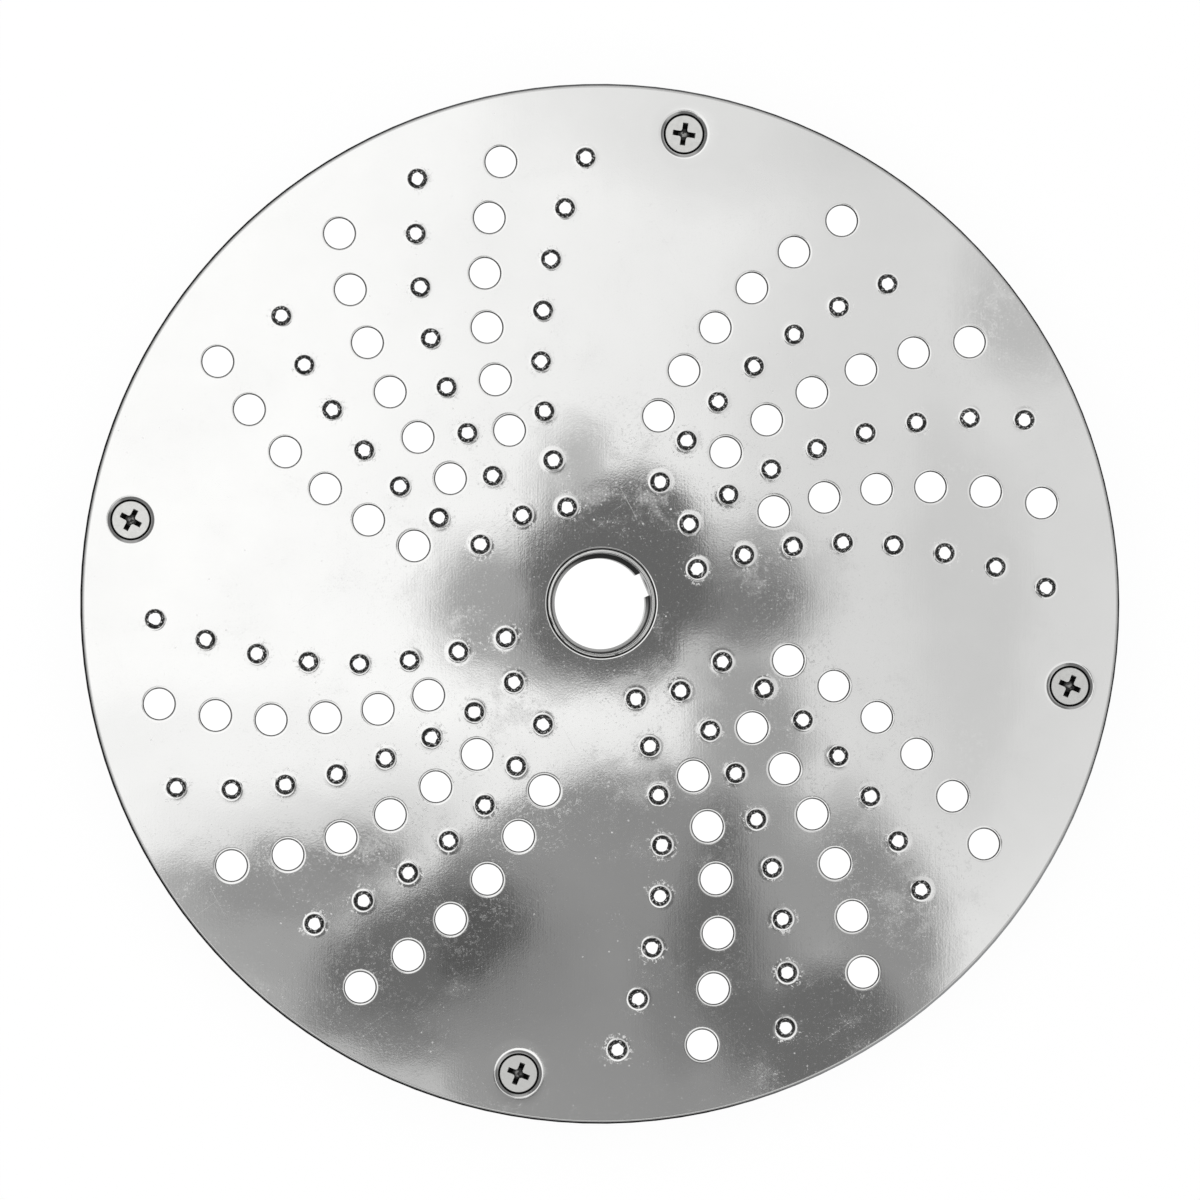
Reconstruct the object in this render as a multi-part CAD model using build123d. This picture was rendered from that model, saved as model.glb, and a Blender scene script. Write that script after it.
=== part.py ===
"""Grating disc for a vegetable cutter: a toothed steel plate screwed to a cast carrier with a drive bush.

Millimetres. The disc lies flat with its teeth up: +Z is the spin axis, from the middle of the underside.
"""

import os
from math import acos, atan, cos, degrees, floor, radians, sin, tan

from build123d import *

# Overall disc
DISC_DIAMETER = 205.0
QUARTERS = 4

# Carrier casting
CARRIER_HEIGHT = 12.0
RIM_WIDTH = 5.0
RIM_EDGE_CHAMFER = 0.4
HUB_RADIUS = 17.0
ARM_DEPTH = 8.0
ARM_ROOT_WIDTH = 6.6
ARM_BOSS_STEP = 1.2
ARM_ROOT_SINK = 2.0
ARM_SWEEP_ANGLE = 16.0
BOSS_WALL = 1.8
CASTING_FILLET = 2.0

# Steel plate
PLATE_THICKNESS = 1.0
PLATE_MARGIN = 0.4
PLATE_EDGE_CHAMFER = 0.25

# Curved rows of teeth and passage holes: every row is the same arc, turned about the spin axis
ROW_ARC_RADIUS = 90.3
ROW_ARC_OFFSET = 92.4
ROW_STEP_ANGLE = 11.25
FIRST_ROW_ANGLE = -58.0
ROWS_PER_QUARTER = 6
ROW_END_MARGIN = 2.5

# Passage holes, which let the grated food through
PASSAGE_DIAMETER = 6.0
PASSAGE_FIRST_RADIUS = 38.55
PASSAGE_PITCH = 10.13

# Punched teeth: a punch bursts each one upwards and leaves flat sides and a torn lip. Widths are across flats
TOOTH_SIDES = 6
TOOTH_BASE_WIDTH = 3.6
TOOTH_LIP_WIDTH = 2.75
TOOTH_HOLE_WIDTH = 2.25
TOOTH_ENTRY_WIDTH = 3.1
TOOTH_HEIGHT = 1.2
TOOTH_TEAR_DEPTH = 0.55
TOOTH_TURN_ANGLE = 137.5
TOOTH_HUB_GAP = 1.25
TOOTH_PITCH = 9.69
TOOTH_STAGGER_ROWS = 3

# Countersunk cross-head screws
SCREW_INSET = 8.5
SCREW_ANGLE = 80.0
SCREW_THREAD_DIAMETER = 4.0
SCREW_HEAD_DIAMETER = 7.5
SCREW_HEAD_LAND = 0.25
SCREW_HEAD_SINK = 0.45
SCREW_END_COVER = 2.4
SCREW_POINT_CHAMFER = 0.5
SCREW_THREAD_CLEARANCE = 0.05
SCREW_HOLE_SPARE = 0.5
SCREW_DRILL_ANGLE = 118.0
SCREW_TURNS = (-9.0, -28.0, -22.0, -23.0)
CROSS_SPAN = 4.5
CROSS_WING_WIDTH = 1.05
CROSS_DEPTH = 1.7
CROSS_END_SPAN = 2.2
CROSS_END_WING_WIDTH = 0.7
CROSS_CORNER_ROUND = 0.45

# Pressed dimples that seat the screw heads
DIMPLE_SEAT_GAP = 0.02
DIMPLE_SHOULDER_ROUND = 1.5
DIMPLE_HOLE_CLEARANCE = 0.2
DIMPLE_NEST_GAP = 0.05

# Drive bush
BUSH_DIAMETER = 25.0
BUSH_SEAT_GAP = 0.01
COLLAR_DIAMETER = 21.2
COLLAR_PROUD = 1.0
COLLAR_PLATE_GAP = 0.15
COLLAR_EDGE_CHAMFER = 0.25
BORE_DIAMETER = 18.0
BORE_LENGTH = 7.0
COUNTERBORE_DIAMETER = 19.7
NOTCH_WIDTH = 4.7
NOTCH_ANGLE = 23.5
NOTCH_RADIUS = 9.75

# Places worked out from the sizes above
RIM_RADIUS = DISC_DIAMETER / 2
RIM_INNER_RADIUS = RIM_RADIUS - RIM_WIDTH
PLATE_RADIUS = RIM_RADIUS - PLATE_MARGIN
PLATE_TOP = CARRIER_HEIGHT + PLATE_THICKNESS
SCREW_RADIUS = RIM_RADIUS - SCREW_INSET
QUARTER_ANGLE = 360 / QUARTERS
ARM_BOTTOM = CARRIER_HEIGHT - ARM_DEPTH
ARM_ROOT_RADIUS = HUB_RADIUS - ARM_ROOT_SINK
TOOTH_FIRST_RADIUS = HUB_RADIUS + TOOTH_HUB_GAP + TOOTH_BASE_WIDTH / 2
HEAD_TOP = PLATE_TOP - SCREW_HEAD_SINK
HEAD_RADIUS = SCREW_HEAD_DIAMETER / 2
THREAD_RADIUS = SCREW_THREAD_DIAMETER / 2

# The seat's cone slopes at 45 degrees, so it is given by the radius where it would meet the plate's top
SEAT_TOP_RADIUS = HEAD_RADIUS + SCREW_HEAD_SINK + SCREW_HEAD_LAND + DIMPLE_SEAT_GAP
SEAT_HOLE_RADIUS = THREAD_RADIUS + DIMPLE_HOLE_CLEARANCE
CONE_SHIFT = PLATE_THICKNESS * 2**0.5
NEST_TOP_RADIUS = SEAT_TOP_RADIUS + CONE_SHIFT - PLATE_THICKNESS
NEST_BOTTOM = CARRIER_HEIGHT - (NEST_TOP_RADIUS - SEAT_HOLE_RADIUS)
BOSS_RADIUS = NEST_TOP_RADIUS + DIMPLE_NEST_GAP + BOSS_WALL
ARM_TIP_WIDTH = 2 * (BOSS_RADIUS - ARM_BOSS_STEP)


def polar(radius, angle):
    """A point at a radius and an angle in degrees, in the XY plane."""
    return (radius * cos(radians(angle)), radius * sin(radians(angle)))


def turned_copies(shape):
    """One copy of a shape in each quarter of the disc."""
    return [Rot(0, 0, QUARTER_ANGLE * quarter) * shape for quarter in range(QUARTERS)]


def turned_solid(points):
    """A solid of revolution about the spin axis from (radius, height) points."""
    return revolve(make_face(Plane.XZ * Polyline(*points, close=True)), Axis.Z)


def row_angle(row, radius):
    """The polar angle at which a row's arc crosses a radius."""
    across = (radius**2 + ROW_ARC_OFFSET**2 - ROW_ARC_RADIUS**2) / (2 * radius * ROW_ARC_OFFSET)
    return FIRST_ROW_ANGLE + ROW_STEP_ANGLE * row + degrees(acos(across))


def row_places(row, first_radius, pitch, feature_radius):
    """Points along one row, from its first radius out to the carrier's rim."""
    last_radius = RIM_INNER_RADIUS - ROW_END_MARGIN - feature_radius
    count = floor((last_radius - first_radius) / pitch) + 1
    radii = [first_radius + pitch * place for place in range(count)]
    return [(radius, row_angle(row, radius)) for radius in radii]


def tooth_places():
    """Radius and angle of each tooth of one quarter, in rows staggered so that their tracks interleave."""
    stagger = TOOTH_PITCH / TOOTH_STAGGER_ROWS
    places = []
    for order, row in enumerate(range(0, ROWS_PER_QUARTER, 2)):
        first_radius = TOOTH_FIRST_RADIUS + stagger * order
        places += row_places(row, first_radius, TOOTH_PITCH, TOOTH_BASE_WIDTH / 2)
    return places


def passage_places():
    """Radius and angle of each passage hole of one quarter, in the rows between the teeth."""
    places = []
    for row in range(1, ROWS_PER_QUARTER, 2):
        places += row_places(row, PASSAGE_FIRST_RADIUS, PASSAGE_PITCH, PASSAGE_DIAMETER / 2)
    return places


def all_round(shape, places, turn_angle=0.0):
    """Copies of a shape at the given places of every quarter, each turned further than the one before."""
    copies = []
    for radius, angle in places:
        for quarter in range(QUARTERS):
            place = Pos(*polar(radius, angle + QUARTER_ANGLE * quarter))
            copies.append(place * Rot(0, 0, turn_angle * len(copies)) * shape)
    return copies


def flat_sided_taper(bottom_width, bottom, top_width, top):
    """An upright tapered prism with flat sides, as a punch leaves."""
    height = top - bottom
    lean_angle = degrees(atan((bottom_width - top_width) / 2 / height))
    outline = RegularPolygon(bottom_width / 2, TOOTH_SIDES, major_radius=False)
    return Pos(0, 0, bottom) * extrude(outline, height, taper=lean_angle)


def tooth_blank():
    """One burst collar before its hole: a steep collar whose lip is torn down at every second corner."""
    root = PLATE_TOP - PLATE_THICKNESS / 2
    lip = PLATE_TOP + TOOTH_HEIGHT
    slope = (TOOTH_BASE_WIDTH - TOOTH_LIP_WIDTH) / TOOTH_HEIGHT
    root_width = TOOTH_BASE_WIDTH + slope * (PLATE_TOP - root)
    collar = flat_sided_taper(root_width, root, TOOTH_LIP_WIDTH, lip)
    side_angle = 360 / TOOTH_SIDES
    corner_radius = TOOTH_LIP_WIDTH / 2 / cos(radians(side_angle / 2))
    reach = corner_radius * sin(radians(side_angle))
    tear_outline = Polyline((-reach, lip), (reach, lip), (0, lip - TOOTH_TEAR_DEPTH), close=True)
    tear = extrude(make_face(Plane.YZ * tear_outline), TOOTH_BASE_WIDTH)
    return collar - [Rot(0, 0, side_angle * corner) * tear for corner in range(0, TOOTH_SIDES, 2)]


def tooth_hole():
    """The tapered hole through one tooth, wide at the plate's underside."""
    lip = PLATE_TOP + TOOTH_HEIGHT
    slope = (TOOTH_ENTRY_WIDTH - TOOTH_HOLE_WIDTH) / (lip - CARRIER_HEIGHT)
    over = PLATE_THICKNESS
    bottom_width = TOOTH_ENTRY_WIDTH + slope * over
    return flat_sided_taper(bottom_width, CARRIER_HEIGHT - over, TOOTH_HOLE_WIDTH - slope * over, lip + over)


def dimple_body():
    """The cone of plate metal that is pressed down into the carrier round one screw."""
    return turned_solid(
        [
            (0, CARRIER_HEIGHT),
            (NEST_TOP_RADIUS, CARRIER_HEIGHT),
            (SEAT_HOLE_RADIUS, NEST_BOTTOM),
            (0, NEST_BOTTOM),
        ]
    )


def dimple_seat():
    """What one screw takes out of the plate: a 90 degree seat with a rounded shoulder, and a hole."""
    over = PLATE_THICKNESS
    run = DIMPLE_SHOULDER_ROUND * (2**0.5 - 1)
    flat_end = (SEAT_TOP_RADIUS + run, PLATE_TOP)
    slope_end = (SEAT_TOP_RADIUS - run / 2**0.5, PLATE_TOP - run / 2**0.5)
    seat_bottom = PLATE_TOP - (SEAT_TOP_RADIUS - SEAT_HOLE_RADIUS)
    outline = [
        Line((0, PLATE_TOP + over), (flat_end[0], PLATE_TOP + over)),
        Line((flat_end[0], PLATE_TOP + over), flat_end),
        RadiusArc(flat_end, slope_end, -DIMPLE_SHOULDER_ROUND),
        Line(slope_end, (SEAT_HOLE_RADIUS, seat_bottom)),
        Line((SEAT_HOLE_RADIUS, seat_bottom), (SEAT_HOLE_RADIUS, NEST_BOTTOM - over)),
        Line((SEAT_HOLE_RADIUS, NEST_BOTTOM - over), (0, NEST_BOTTOM - over)),
        Line((0, NEST_BOTTOM - over), (0, PLATE_TOP + over)),
    ]
    return revolve(Plane.XZ * make_face(outline), Axis.Z)


def grating_plate():
    """The steel plate: rows of punched teeth, rows of passage holes and four pressed screw seats."""
    blank = Pos(0, 0, CARRIER_HEIGHT) * extrude(Circle(PLATE_RADIUS), PLATE_THICKNESS)
    rim_edge = blank.edges().filter_by(GeomType.CIRCLE).sort_by(Axis.Z)[-1]
    blank = chamfer(rim_edge, PLATE_EDGE_CHAMFER)
    centre_hole = Cylinder(COLLAR_DIAMETER / 2 + COLLAR_PLATE_GAP, 4 * CARRIER_HEIGHT)
    passage = Cylinder(PASSAGE_DIAMETER / 2, 4 * CARRIER_HEIGHT)
    screw_place = [(SCREW_RADIUS, SCREW_ANGLE)]
    plate = blank - [centre_hole, *all_round(passage, passage_places())]
    plate += all_round(dimple_body(), screw_place)
    plate += all_round(tooth_blank(), tooth_places(), TOOTH_TURN_ANGLE)
    plate -= all_round(tooth_hole(), tooth_places(), TOOTH_TURN_ANGLE)
    plate -= all_round(dimple_seat(), screw_place)
    return plate


def arm_outline():
    """Plan of one arm: it tapers from the hub to its screw boss and leans with the rows of holes."""
    root = Vector(*polar(ARM_ROOT_RADIUS, SCREW_ANGLE + ARM_SWEEP_ANGLE))
    tip = Vector(*polar(SCREW_RADIUS, SCREW_ANGLE))
    along = (tip - root).normalized()
    across = Vector(-along.Y, along.X)
    corners = [
        root + across * (ARM_ROOT_WIDTH / 2),
        tip + across * (ARM_TIP_WIDTH / 2),
        tip - across * (ARM_TIP_WIDTH / 2),
        root - across * (ARM_ROOT_WIDTH / 2),
    ]
    return make_face(Polyline(*corners, close=True))


def disc_carrier():
    """The aluminium casting: rim, four arms, screw bosses and hub."""
    rim = Circle(RIM_RADIUS) - Circle(RIM_INNER_RADIUS)
    boss = Pos(*polar(SCREW_RADIUS, SCREW_ANGLE)) * Circle(BOSS_RADIUS)
    inside = Circle(RIM_INNER_RADIUS + RIM_WIDTH / 2)
    feet = rim + turned_copies(boss & inside)
    web = feet + Circle(HUB_RADIUS) + turned_copies(arm_outline())
    inner_corners = [v for v in web.vertices() if (v.X**2 + v.Y**2) ** 0.5 < RIM_RADIUS - RIM_WIDTH / 2]
    web = fillet(inner_corners, CASTING_FILLET)
    carrier = Pos(0, 0, ARM_BOTTOM) * extrude(web, ARM_DEPTH)
    carrier += extrude(feet + Circle(HUB_RADIUS), ARM_BOTTOM)
    round_edges = carrier.edges().filter_by(GeomType.CIRCLE)
    rim_edges = round_edges.filter_by(lambda edge: edge.radius > RIM_RADIUS - RIM_EDGE_CHAMFER)
    carrier = chamfer(rim_edges, RIM_EDGE_CHAMFER)
    carrier -= Cylinder(BUSH_DIAMETER / 2 + BUSH_SEAT_GAP, 4 * CARRIER_HEIGHT)
    return carrier - all_round(screw_socket(), [(SCREW_RADIUS, SCREW_ANGLE)])


def screw_socket():
    """The countersink that takes the plate's dimple, and the blind tapped hole below it."""
    nest_radius = NEST_TOP_RADIUS + DIMPLE_NEST_GAP
    hole_radius = THREAD_RADIUS + SCREW_THREAD_CLEARANCE
    hole_end = SCREW_END_COVER - SCREW_HOLE_SPARE
    drill_point = hole_radius / tan(radians(SCREW_DRILL_ANGLE / 2))
    return turned_solid(
        [
            (0, PLATE_TOP),
            (nest_radius + PLATE_THICKNESS, PLATE_TOP),
            (SEAT_HOLE_RADIUS, NEST_BOTTOM - DIMPLE_NEST_GAP),
            (hole_radius, NEST_BOTTOM - DIMPLE_NEST_GAP),
            (hole_radius, hole_end),
            (0, hole_end - drill_point),
        ]
    )


def cross_outline(span, wing_width):
    """Plan of a cross recess with rounded inner corners."""
    cross = Rectangle(span, wing_width) + Rectangle(wing_width, span)
    inner = [v for v in cross.vertices() if (v.X**2 + v.Y**2) ** 0.5 < wing_width]
    return fillet(inner, CROSS_CORNER_ROUND)


def plate_screw():
    """One countersunk screw with a cross recess, on the spin axis."""
    cone_top = HEAD_TOP - SCREW_HEAD_LAND
    body = turned_solid(
        [
            (0, HEAD_TOP),
            (HEAD_RADIUS, HEAD_TOP),
            (HEAD_RADIUS, cone_top),
            (THREAD_RADIUS, cone_top - (HEAD_RADIUS - THREAD_RADIUS)),
            (THREAD_RADIUS, SCREW_END_COVER + SCREW_POINT_CHAMFER),
            (THREAD_RADIUS - SCREW_POINT_CHAMFER, SCREW_END_COVER),
            (0, SCREW_END_COVER),
        ]
    )
    recess = loft(
        [
            Pos(0, 0, HEAD_TOP) * cross_outline(CROSS_SPAN, CROSS_WING_WIDTH),
            Pos(0, 0, HEAD_TOP - CROSS_DEPTH) * cross_outline(CROSS_END_SPAN, CROSS_END_WING_WIDTH),
        ],
        ruled=True,
    )
    return body - recess


def plate_screws():
    """The four screws, each with its recess turned as it was left when tightened."""
    screw = plate_screw()
    screws = []
    for quarter, turn in enumerate(SCREW_TURNS):
        place = polar(SCREW_RADIUS, SCREW_ANGLE + QUARTER_ANGLE * quarter)
        screws.append(Pos(*place, 0) * Rot(0, 0, turn) * screw)
    return Compound(children=screws)


def drive_bush():
    """The turned steel bush: its collar comes up through the plate, and its bore has a drive notch."""
    collar_top = PLATE_TOP + COLLAR_PROUD
    bush_radius, collar_radius = BUSH_DIAMETER / 2, COLLAR_DIAMETER / 2
    bore_radius, counterbore_radius = BORE_DIAMETER / 2, COUNTERBORE_DIAMETER / 2
    bush = turned_solid(
        [
            (bore_radius, 0),
            (bush_radius, 0),
            (bush_radius, CARRIER_HEIGHT),
            (collar_radius, CARRIER_HEIGHT),
            (collar_radius, collar_top),
            (counterbore_radius, collar_top),
            (counterbore_radius, BORE_LENGTH),
            (bore_radius, BORE_LENGTH),
        ]
    )
    top_edges = bush.edges().filter_by(GeomType.CIRCLE).group_by(Axis.Z)[-1]
    bush = chamfer(top_edges, COLLAR_EDGE_CHAMFER)
    notch = Pos(NOTCH_RADIUS / 2, 0, 0) * Box(NOTCH_RADIUS, NOTCH_WIDTH, 2 * BORE_LENGTH)
    return bush - Rot(0, 0, NOTCH_ANGLE) * notch


def main():
    os.makedirs("parts", exist_ok=True)
    export_step(grating_plate(), "parts/grating_plate.step")
    export_step(disc_carrier(), "parts/disc_carrier.step")
    export_step(drive_bush(), "parts/drive_bush.step")
    export_step(plate_screws(), "parts/plate_screws.step")


main()
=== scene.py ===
"""Studio picture of the grating disc: the toothed plate, the finishes of its pieces and a plain white stage."""

import math

import bmesh
import bpy
from bpy.props import FloatProperty, FloatVectorProperty, IntProperty, PointerProperty
from mathutils import Matrix, Vector


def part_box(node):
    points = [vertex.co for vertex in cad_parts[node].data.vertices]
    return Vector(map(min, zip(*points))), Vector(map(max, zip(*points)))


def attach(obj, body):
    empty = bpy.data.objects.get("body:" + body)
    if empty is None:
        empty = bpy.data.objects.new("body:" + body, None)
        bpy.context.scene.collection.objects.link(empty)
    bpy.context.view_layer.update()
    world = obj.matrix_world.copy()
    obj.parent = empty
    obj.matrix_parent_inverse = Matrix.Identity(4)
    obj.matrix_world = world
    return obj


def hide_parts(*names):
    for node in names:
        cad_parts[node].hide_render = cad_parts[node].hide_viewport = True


bl_info = {
    "name": "Grating disc",
    "version": (1, 0, 0),
    "blender": (4, 5, 0),
    "location": "View3D > Sidebar > Grating disc",
    "description": "Builds the toothed plate of a grating disc, the finishes of its pieces and a studio stage",
    "category": "Object",
}

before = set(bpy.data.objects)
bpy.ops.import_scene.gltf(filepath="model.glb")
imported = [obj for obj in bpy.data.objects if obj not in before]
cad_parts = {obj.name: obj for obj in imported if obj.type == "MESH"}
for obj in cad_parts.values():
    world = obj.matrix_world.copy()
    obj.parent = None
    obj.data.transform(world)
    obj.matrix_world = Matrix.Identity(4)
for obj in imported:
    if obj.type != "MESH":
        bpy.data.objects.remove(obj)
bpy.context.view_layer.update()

MM = 0.001
QUARTERS = 4
PLATE_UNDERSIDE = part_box("disc_carrier")[1].z
PLATE_RADIUS = round(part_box("grating_plate")[1].x / MM, 1) * MM
TOOTH_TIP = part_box("grating_plate")[1].z
PHOTO_PIXELS = 1200


class Value:
    """A socket of a node tree: arithmetic on it adds Math nodes."""

    def __init__(self, graph, socket):
        self.graph = graph
        self.socket = socket

    def output(self, name):
        """Another output of the same node."""
        return Value(self.graph, self.socket.node.outputs[name])

    def math(self, operation, *others):
        return self.graph.node("ShaderNodeMath", {"operation": operation}, [self, *others])

    def __add__(self, other):
        return self.math("ADD", other)

    def __sub__(self, other):
        return self.math("SUBTRACT", other)

    def __rsub__(self, other):
        return self.graph.node("ShaderNodeMath", {"operation": "SUBTRACT"}, [other, self])

    def __mul__(self, other):
        return self.math("MULTIPLY", other)

    def __truediv__(self, other):
        return self.math("DIVIDE", other)

    def __mod__(self, other):
        return self.math("FLOORED_MODULO", other)

    def __gt__(self, other):
        return self.math("GREATER_THAN", other)

    def __lt__(self, other):
        return self.math("LESS_THAN", other)

    __radd__ = __add__
    __rmul__ = __mul__


class Graph:
    """Adds nodes to one tree."""

    def __init__(self, tree):
        self.tree = tree

    def node(self, kind, settings=None, inputs=(), output=0):
        """Adds a node: its settings first, then the values or links of its sockets. A list links each of its parts."""
        node = self.tree.nodes.new(kind)
        for name, setting in (settings or {}).items():
            setattr(node, name, setting)
        for key, value in inputs.items() if isinstance(inputs, dict) else enumerate(inputs):
            for part in value if isinstance(value, list) else [value]:
                if isinstance(part, Value):
                    self.tree.links.new(part.socket, node.inputs[key])
                else:
                    node.inputs[key].default_value = part
        return Value(self, node.outputs[output]) if node.outputs else None

    def vector(self, operation, *operands, output=0):
        return self.node("ShaderNodeVectorMath", {"operation": operation}, list(operands), output)

    def noise(self, vector, scale, detail=2.0, roughness=0.5):
        """Smooth noise from 0 to 1; the scale is in waves per metre."""
        sockets = {"Vector": vector, "Scale": scale, "Detail": detail, "Roughness": roughness}
        return self.node("ShaderNodeTexNoise", {}, sockets)

    def step(self, value, low, high):
        """A smooth step from 0 at low to 1 at high."""
        sockets = {"Value": value, "From Min": low, "From Max": high}
        return self.node("ShaderNodeMapRange", {"interpolation_type": "SMOOTHSTEP"}, sockets)

    def mix(self, factor, first, second):
        """A mix of two colours."""
        return self.node("ShaderNodeMix", {"data_type": "RGBA"}, {0: factor, 6: first, 7: second}, 2)

    def bump(self, height, normal=None):
        """Tilts the surface by a height in metres."""
        sockets = {"Strength": 1.0, "Distance": 1.0, "Height": height}
        if normal is not None:
            sockets["Normal"] = normal
        return self.node("ShaderNodeBump", {}, sockets)


def new_material(name):
    """A material with an empty node tree."""
    material = bpy.data.materials.new(name)
    material.use_nodes = True
    material.node_tree.nodes.clear()
    return material, Graph(material.node_tree)


def metal(graph, colour, roughness, normal):
    """Ends a material as bare metal."""
    sockets = {"Base Color": colour, "Metallic": 1.0, "Roughness": roughness, "Normal": normal}
    shader = graph.node("ShaderNodeBsdfPrincipled", {}, sockets)
    graph.node("ShaderNodeOutputMaterial", {}, {"Surface": shader})


def opaque(rgb):
    return (*rgb, 1.0)


def darker(rgb, share):
    return tuple(share * channel for channel in rgb)


def length(name, description, millimetres):
    """A property for a size."""
    return FloatProperty(name=name, description=description, default=millimetres * MM, unit="LENGTH", precision=5)


def angle(name, description, degrees):
    """A property for an angle."""
    return FloatProperty(name=name, description=description, default=math.radians(degrees), subtype="ANGLE")


def count(name, description, number):
    """A property for a number of things."""
    return IntProperty(name=name, description=description, default=number, min=0)


def colour(name, description, rgb):
    """A property for a colour."""
    return FloatVectorProperty(name=name, description=description, default=rgb, subtype="COLOR", min=0.0, max=1.0)


class PlateSizes(bpy.types.PropertyGroup):
    """Sizes of the toothed plate."""

    thickness: length("Sheet thickness", "Thickness of the steel sheet", 1.0)
    row_arc_radius: length("Row arc radius", "Radius of the arc that every row follows", 90.3)
    row_arc_offset: length("Row arc offset", "Distance of the arc's centre from the spin axis", 92.4)
    row_step: angle("Row step", "Turn from one row to the next", 11.25)
    first_row: angle("First row", "Direction of the first row's arc centre", -58.0)
    rows: count("Rows", "Rows of teeth, and of passage holes, in each quarter", 3)
    row_teeth: count("Teeth in a row", "Most teeth in one row", 8)
    tooth_first_radius: length("First tooth", "Radius of the innermost tooth of the first row", 20.05)
    tooth_pitch: length("Tooth pitch", "Radial distance between the teeth of a row", 9.69)
    tooth_stagger: length("Tooth stagger", "How much further out each next row of teeth begins", 3.23)
    tooth_last_radius: length("Last tooth", "Radius past which a row has no tooth", 93.2)
    tear_depth: length("Tear depth", "Depth of the tears in a tooth's lip", 0.75)
    row_passages: count("Passages in a row", "Passage holes in one row", 6)
    passage_radius: length("Passage radius", "Radius of a passage hole", 3.0)
    passage_first_radius: length("First passage", "Radius of the innermost passage hole", 38.55)
    passage_pitch: length("Passage pitch", "Radial distance between the passage holes of a row", 10.13)
    screw_radius: length("Screw circle", "Radius of the circle of screws", 94.0)
    screw_angle: angle("First screw", "Direction of the first screw", 80.0)
    seat_radius: length("Screw seat", "Radius where a screw seat's cone would meet the plate", 4.47)
    seat_hole_radius: length("Screw hole", "Radius of the hole below a screw seat", 2.2)
    centre_radius: length("Centre hole", "Radius of the hole for the bush's collar", 10.75)
    seed: count("Seed", "Seed of the torn lips", 4)


class Finishes(bpy.types.PropertyGroup):
    """Colours of the metals."""

    plate_steel: colour("Plate steel", "Polished sheet of the plate", (0.90, 0.90, 0.89))
    # The torn metal is dull; its near-black colour is painted shade of the teeth and of the punched and rolled edges.
    torn_steel_shade: colour("Torn steel", "Dull metal of the torn teeth and the punched edges", (0.03, 0.03, 0.03))
    bush_steel: colour("Bush steel", "Turned steel of the drive bush", (0.80, 0.80, 0.79))
    screw_steel: colour("Screw steel", "Plain steel of the screws", (0.82, 0.82, 0.80))
    cast_aluminium: colour("Cast aluminium", "Casting of the carrier", (0.56, 0.57, 0.58))


class StageSettings(bpy.types.PropertyGroup):
    """Camera and light."""

    camera_distance: FloatProperty(name="Camera distance", description="From the plate", default=1.6, unit="LENGTH")
    camera_lean_x: angle("Lean across", "How far the camera stands to the left of straight above", 2.5)
    camera_lean_y: angle("Lean down", "How far the camera stands below straight above", 0.9)
    view_width: length("View width", "Width of what the camera sees at the plate", 236.3)
    card_height: length("Card height", "Height of the light card above the plate", 320.0)
    card_size: length("Card size", "Side of the light card", 560.0)
    card_light: FloatProperty(name="Card light", description="Strength of the light card", default=1.1)
    flag_distance: length("Flag distance", "Radius of the ring of grey flags round the disc", 800.0)
    flag_light: FloatProperty(name="Flag light", description="How bright the grey flags look", default=0.2)
    world_light: FloatProperty(name="World light", description="Strength of the white light all round", default=1.0)


def turned_ring(name, profile, segments):
    """A ring of faces turned about Z from (radius, height, crown, scuff, dull) points, as a template to copy; the last
    amount both dulls the metal and paints it dark as shade.
    """
    turns = [2 * math.pi * side / segments for side in range(segments)]
    vertices = [(r * math.cos(a), r * math.sin(a), z) for r, z, *_ in profile for a in turns]
    faces = []
    for ring in range(len(profile) - 1):
        for side in range(segments):
            here = ring * segments + side
            beside = ring * segments + (side + 1) % segments
            faces.append((here, beside, beside + segments, here + segments))
    mesh = bpy.data.meshes.new(name)
    mesh.from_pydata(vertices, [], faces)
    for column, attribute in ((2, "crown"), (3, "scuff"), (4, "dull_and_shaded")):
        values = [point[column] for point in profile for _ in turns]
        mesh.attributes.new(attribute, "FLOAT", "POINT").data.foreach_set("value", values)
    template = bpy.data.objects.new(name, mesh)
    bpy.context.scene.collection.objects.link(template)
    return template


def in_metres(points, top):
    """Profile points from millimetres, with heights measured from the plate's top."""
    return [(r * MM, top + z * MM, *amounts) for r, z, *amounts in points]


def tooth_profile(sizes, top):
    """Section of one burst tooth, from the flat sheet over the torn lip to the flat underside."""
    sheet = sizes.thickness / MM
    tip = (TOOTH_TIP - top) / MM
    # The last amount of each point paints the foot, lip and inside of the tooth near-black as shade, and dulls them.
    foot = [(3.6, 0, 0, 0, 0), (3.0, 0, 0, 0.5, 0), (2.4, 0, 0, 1, 0), (2.02, 0.02, 0, 1, 0), (1.9, 0.12, 0.1, 1, 0.9)]
    lip = [(1.74, 0.5 * tip, 0.35, 1, 1), (1.54, 0.85 * tip, 0.8, 1, 1), (1.38, tip, 1, 1, 0.9), (1.26, 0.92 * tip, 1, 1, 1)]
    inside = [(1.2, 0.65 * tip, 0.8, 1, 1), (1.26, -0.3 * sheet, 0.2, 0.6, 1), (1.5, -0.92 * sheet, 0, 0.4, 1)]
    underside = [(1.66, -sheet, 0, 0.3, 0.5), (1.9, -sheet, 0, 0, 0), (2.2, -sheet, 0, 0, 0)]
    return in_metres(foot + lip + inside + underside, top)


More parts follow.
